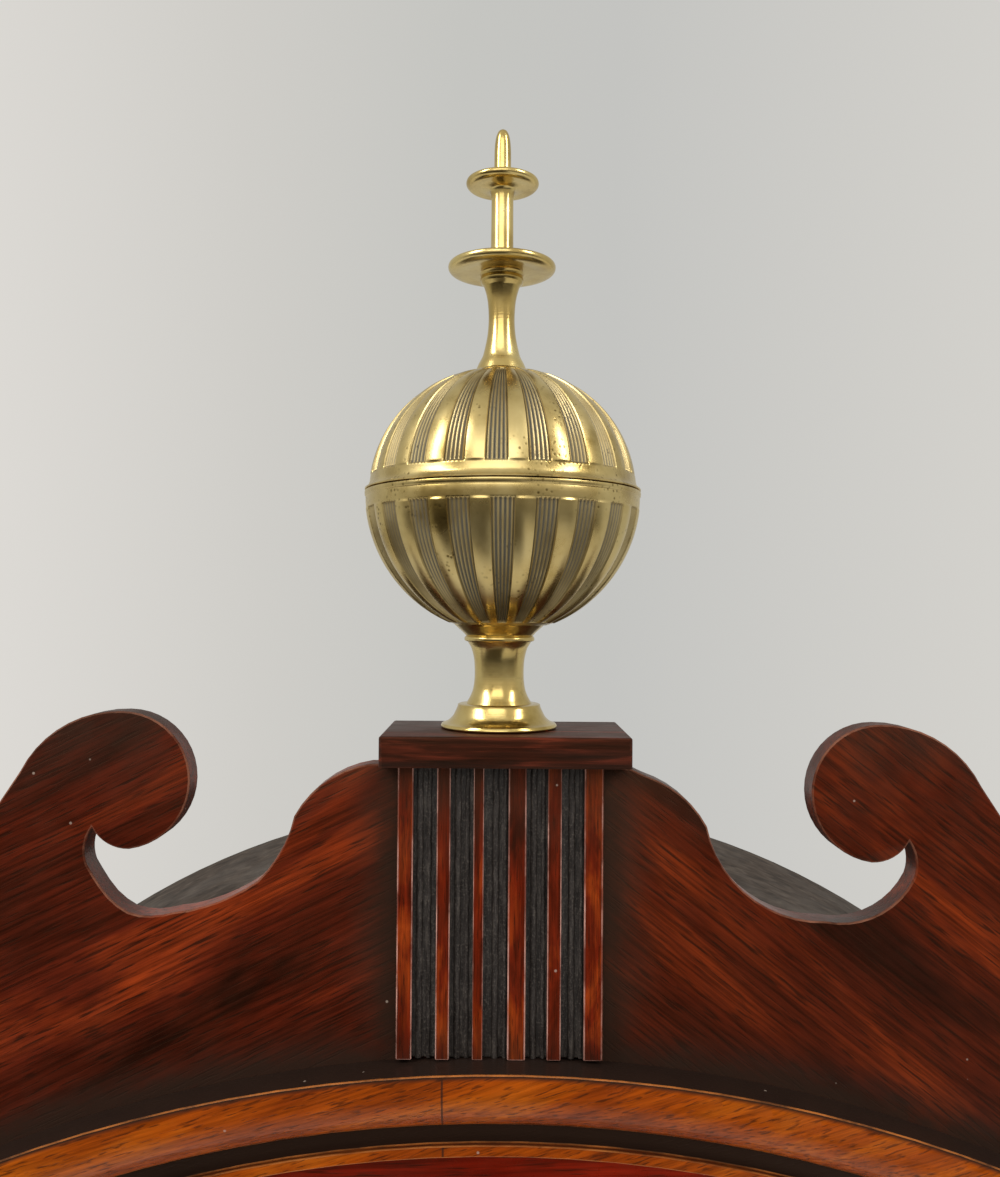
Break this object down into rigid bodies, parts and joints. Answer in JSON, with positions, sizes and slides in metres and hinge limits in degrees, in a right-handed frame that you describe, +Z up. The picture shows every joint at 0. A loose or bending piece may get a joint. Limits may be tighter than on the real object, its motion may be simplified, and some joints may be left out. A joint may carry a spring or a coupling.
{
  "type": "longcase clock",
  "caption": "Tall weight-driven pendulum clock with a sliding arched hood, swan-neck pediment and ball finial.",
  "frame": {"origin": "on the floor, in the middle of the clock's width and depth", "axes": "+Z up, the dial faces -Y, +X to the right of someone facing the dial"},
  "size_m": [0.5004, 0.2585, 2.1591],
  "materials": {
    "mahogany": "french-polished, aged",
    "cornice_mahogany": "french-polished, glossy",
    "pine": "unpolished, aged",
    "brass": "cast and turned, polished, aged",
    "bell_metal": "turned",
    "steel": "filed and polished",
    "blued_steel": "heat-blued",
    "cast_iron": "as cast, painted black",
    "glass": "clear, slightly wavy",
    "painted_dial": "off-white paint",
    "gut": "twisted gut"
  },
  "bodies": {
    "case": {"skirting": "mahogany", "base_front_panel": "mahogany", "base_sides": "mahogany", "base_floor": "pine", "base_moulding": "mahogany", "backboard": "pine", "trunk_sides": "mahogany", "trunk_front_frame": "mahogany", "throat_moulding": "mahogany", "seatboard": "pine", "trunk_hinge_leaves": "brass", "dial_plate": "painted_dial", "movement_frame": "brass", "back_cock": "brass", "bell_and_stand": "bell_metal", "going_line": "gut", "strike_line": "gut"},
    "trunk_door": {"trunk_door_panel": "mahogany", "trunk_door_hinges": "brass", "trunk_door_key_plate": "brass"},
    "hood": {"hood_base_frame": "mahogany", "hood_mask_frame": "mahogany", "hood_sides": "mahogany", "hood_side_glass": "glass", "hood_frieze": "mahogany", "arch_moulding": "cornice_mahogany", "cornice_returns": "cornice_mahogany", "pediment_boards": "mahogany", "fluted_plinth": "mahogany", "plinth_cap": "mahogany", "hood_roof": "pine", "hood_columns": "mahogany", "column_brasses": "brass", "finial_foot": "brass", "finial_bowl": "brass", "finial_dome": "brass", "finial_spire": "brass"},
    "hood_door": {"hood_door_frame": "mahogany", "hood_door_glass": "glass", "hood_door_pivots": "brass", "hood_door_knob": "brass"},
    "going_great_wheel": {"going_great_wheel": "brass"},
    "centre_wheel": {"centre_wheel": "brass"},
    "third_wheel": {"third_wheel": "brass"},
    "escape_wheel": {"escape_wheel": "brass", "seconds_hand": "blued_steel"},
    "anchor": {"anchor_and_crutch": "steel"},
    "pendulum": {"pendulum_rod": "steel", "pendulum_bob": "brass"},
    "minute_hand": {"minute_hand": "blued_steel"},
    "hour_hand": {"hour_hand": "blued_steel"},
    "motion_wheel": {"motion_wheel": "brass"},
    "going_barrel": {"going_barrel": "brass"},
    "strike_barrel": {"strike_barrel": "brass"},
    "strike_great_wheel": {"strike_great_wheel": "brass"},
    "going_weight": {"going_weight": "cast_iron"},
    "strike_weight": {"strike_weight": "cast_iron"},
    "going_pulley": {"going_pulley": "brass"},
    "strike_pulley": {"strike_pulley": "brass"},
    "hammer": {"hammer": "steel"}
  },
  "joints": [
    {"name": "hood_slide", "type": "slide", "parent": "case", "child": "hood", "axis": [0, -1, 0], "range_m": [0, 0.25]},
    {"name": "hood_door_hinge", "type": "hinge", "parent": "hood", "child": "hood_door", "pos_m": [0.1755, -0.10355, 1.6085], "axis": [0, 0, 1], "range_deg": [0, 110]},
    {"name": "trunk_door_hinge", "type": "hinge", "parent": "case", "child": "trunk_door", "pos_m": [0.123, -0.05545, 0.912], "axis": [0, 0, 1], "range_deg": [0, 110]},
    {"name": "escape_wheel_turn", "type": "hinge", "parent": "case", "child": "escape_wheel", "pos_m": [0, -0.00075, 1.6635], "axis": [0, 1, 0], "continuous": true},
    {"name": "third_wheel_turn", "type": "hinge", "parent": "case", "child": "third_wheel", "pos_m": [0.00831, -0.00075, 1.63971], "axis": [0, 1, 0], "continuous": true},
    {"name": "centre_wheel_turn", "type": "hinge", "parent": "case", "child": "centre_wheel", "pos_m": [0, -0.00075, 1.6085], "axis": [0, 1, 0], "continuous": true},
    {"name": "going_great_wheel_turn", "type": "hinge", "parent": "case", "child": "going_great_wheel", "pos_m": [0.0425, -0.00075, 1.5965], "axis": [0, 1, 0], "continuous": true},
    {"name": "minute_hand_turn", "type": "hinge", "parent": "case", "child": "minute_hand", "pos_m": [0, -0.00075, 1.6085], "axis": [0, 1, 0], "continuous": true},
    {"name": "hour_hand_turn", "type": "hinge", "parent": "case", "child": "hour_hand", "pos_m": [0, -0.00075, 1.6085], "axis": [0, 1, 0], "continuous": true},
    {"name": "motion_wheel_turn", "type": "hinge", "parent": "case", "child": "motion_wheel", "pos_m": [-0.02037, -0.00075, 1.58814], "axis": [0, 1, 0], "continuous": true},
    {"name": "strike_great_wheel_turn", "type": "hinge", "parent": "case", "child": "strike_great_wheel", "pos_m": [-0.0425, -0.00075, 1.5965], "axis": [0, 1, 0], "continuous": true},
    {"name": "pendulum_swing", "type": "hinge", "parent": "case", "child": "pendulum", "pos_m": [0, 0.05725, 1.6935], "axis": [0, 1, 0], "range_deg": [-2.5, 2.5]},
    {"name": "anchor_rock", "type": "hinge", "parent": "case", "child": "anchor", "pos_m": [0, -0.00075, 1.6935], "axis": [0, 1, 0], "range_deg": [-2.6, 2.6]},
    {"name": "going_weight_lift", "type": "slide", "parent": "case", "child": "going_weight", "axis": [0, 0, 1], "range_m": [0, 1.1], "deforming": ["going_line"]},
    {"name": "going_barrel_turn", "type": "hinge", "parent": "case", "child": "going_barrel", "pos_m": [0.0425, -0.00075, 1.5965], "axis": [0, 1, 0], "range_deg": [0, 4800]},
    {"name": "going_pulley_turn", "type": "hinge", "parent": "going_weight", "child": "going_pulley", "pos_m": [0.0385, -0.00075, 0.309], "axis": [0, 1, 0], "range_deg": [0, 2900]},
    {"name": "strike_weight_lift", "type": "slide", "parent": "case", "child": "strike_weight", "axis": [0, 0, 1], "range_m": [0, 1.1], "deforming": ["strike_line"]},
    {"name": "strike_barrel_turn", "type": "hinge", "parent": "case", "child": "strike_barrel", "pos_m": [-0.0425, -0.00075, 1.5965], "axis": [0, 1, 0], "range_deg": [0, 4800]},
    {"name": "strike_pulley_turn", "type": "hinge", "parent": "strike_weight", "child": "strike_pulley", "pos_m": [-0.0465, -0.00075, 0.309], "axis": [0, 1, 0], "range_deg": [0, 2900]},
    {"name": "hammer_lift", "type": "hinge", "parent": "case", "child": "hammer", "pos_m": [-0.05, -0.00075, 1.6785], "axis": [0, 1, 0], "range_deg": [-16, 0], "stiffness_Nm_per_rad": 0.05, "springref_deg": 5.73}
  ],
  "couplings": [
    {"joint": "third_wheel_turn", "follows": "escape_wheel_turn", "ratio": -0.125},
    {"joint": "centre_wheel_turn", "follows": "escape_wheel_turn", "ratio": 0.016667},
    {"joint": "going_great_wheel_turn", "follows": "escape_wheel_turn", "ratio": -0.0013889},
    {"joint": "minute_hand_turn", "follows": "escape_wheel_turn", "ratio": 0.016667},
    {"joint": "motion_wheel_turn", "follows": "escape_wheel_turn", "ratio": -0.016667},
    {"joint": "hour_hand_turn", "follows": "escape_wheel_turn", "ratio": 0.0013889},
    {"joint": "anchor_rock", "follows": "pendulum_swing", "ratio": 1},
    {"joint": "going_barrel_turn", "follows": "going_weight_lift", "rad_per_m": 74.212},
    {"joint": "going_pulley_turn", "follows": "going_weight_lift", "rad_per_m": 43.573},
    {"joint": "strike_barrel_turn", "follows": "strike_weight_lift", "rad_per_m": 74.212},
    {"joint": "strike_pulley_turn", "follows": "strike_weight_lift", "rad_per_m": 43.573}
  ]
}
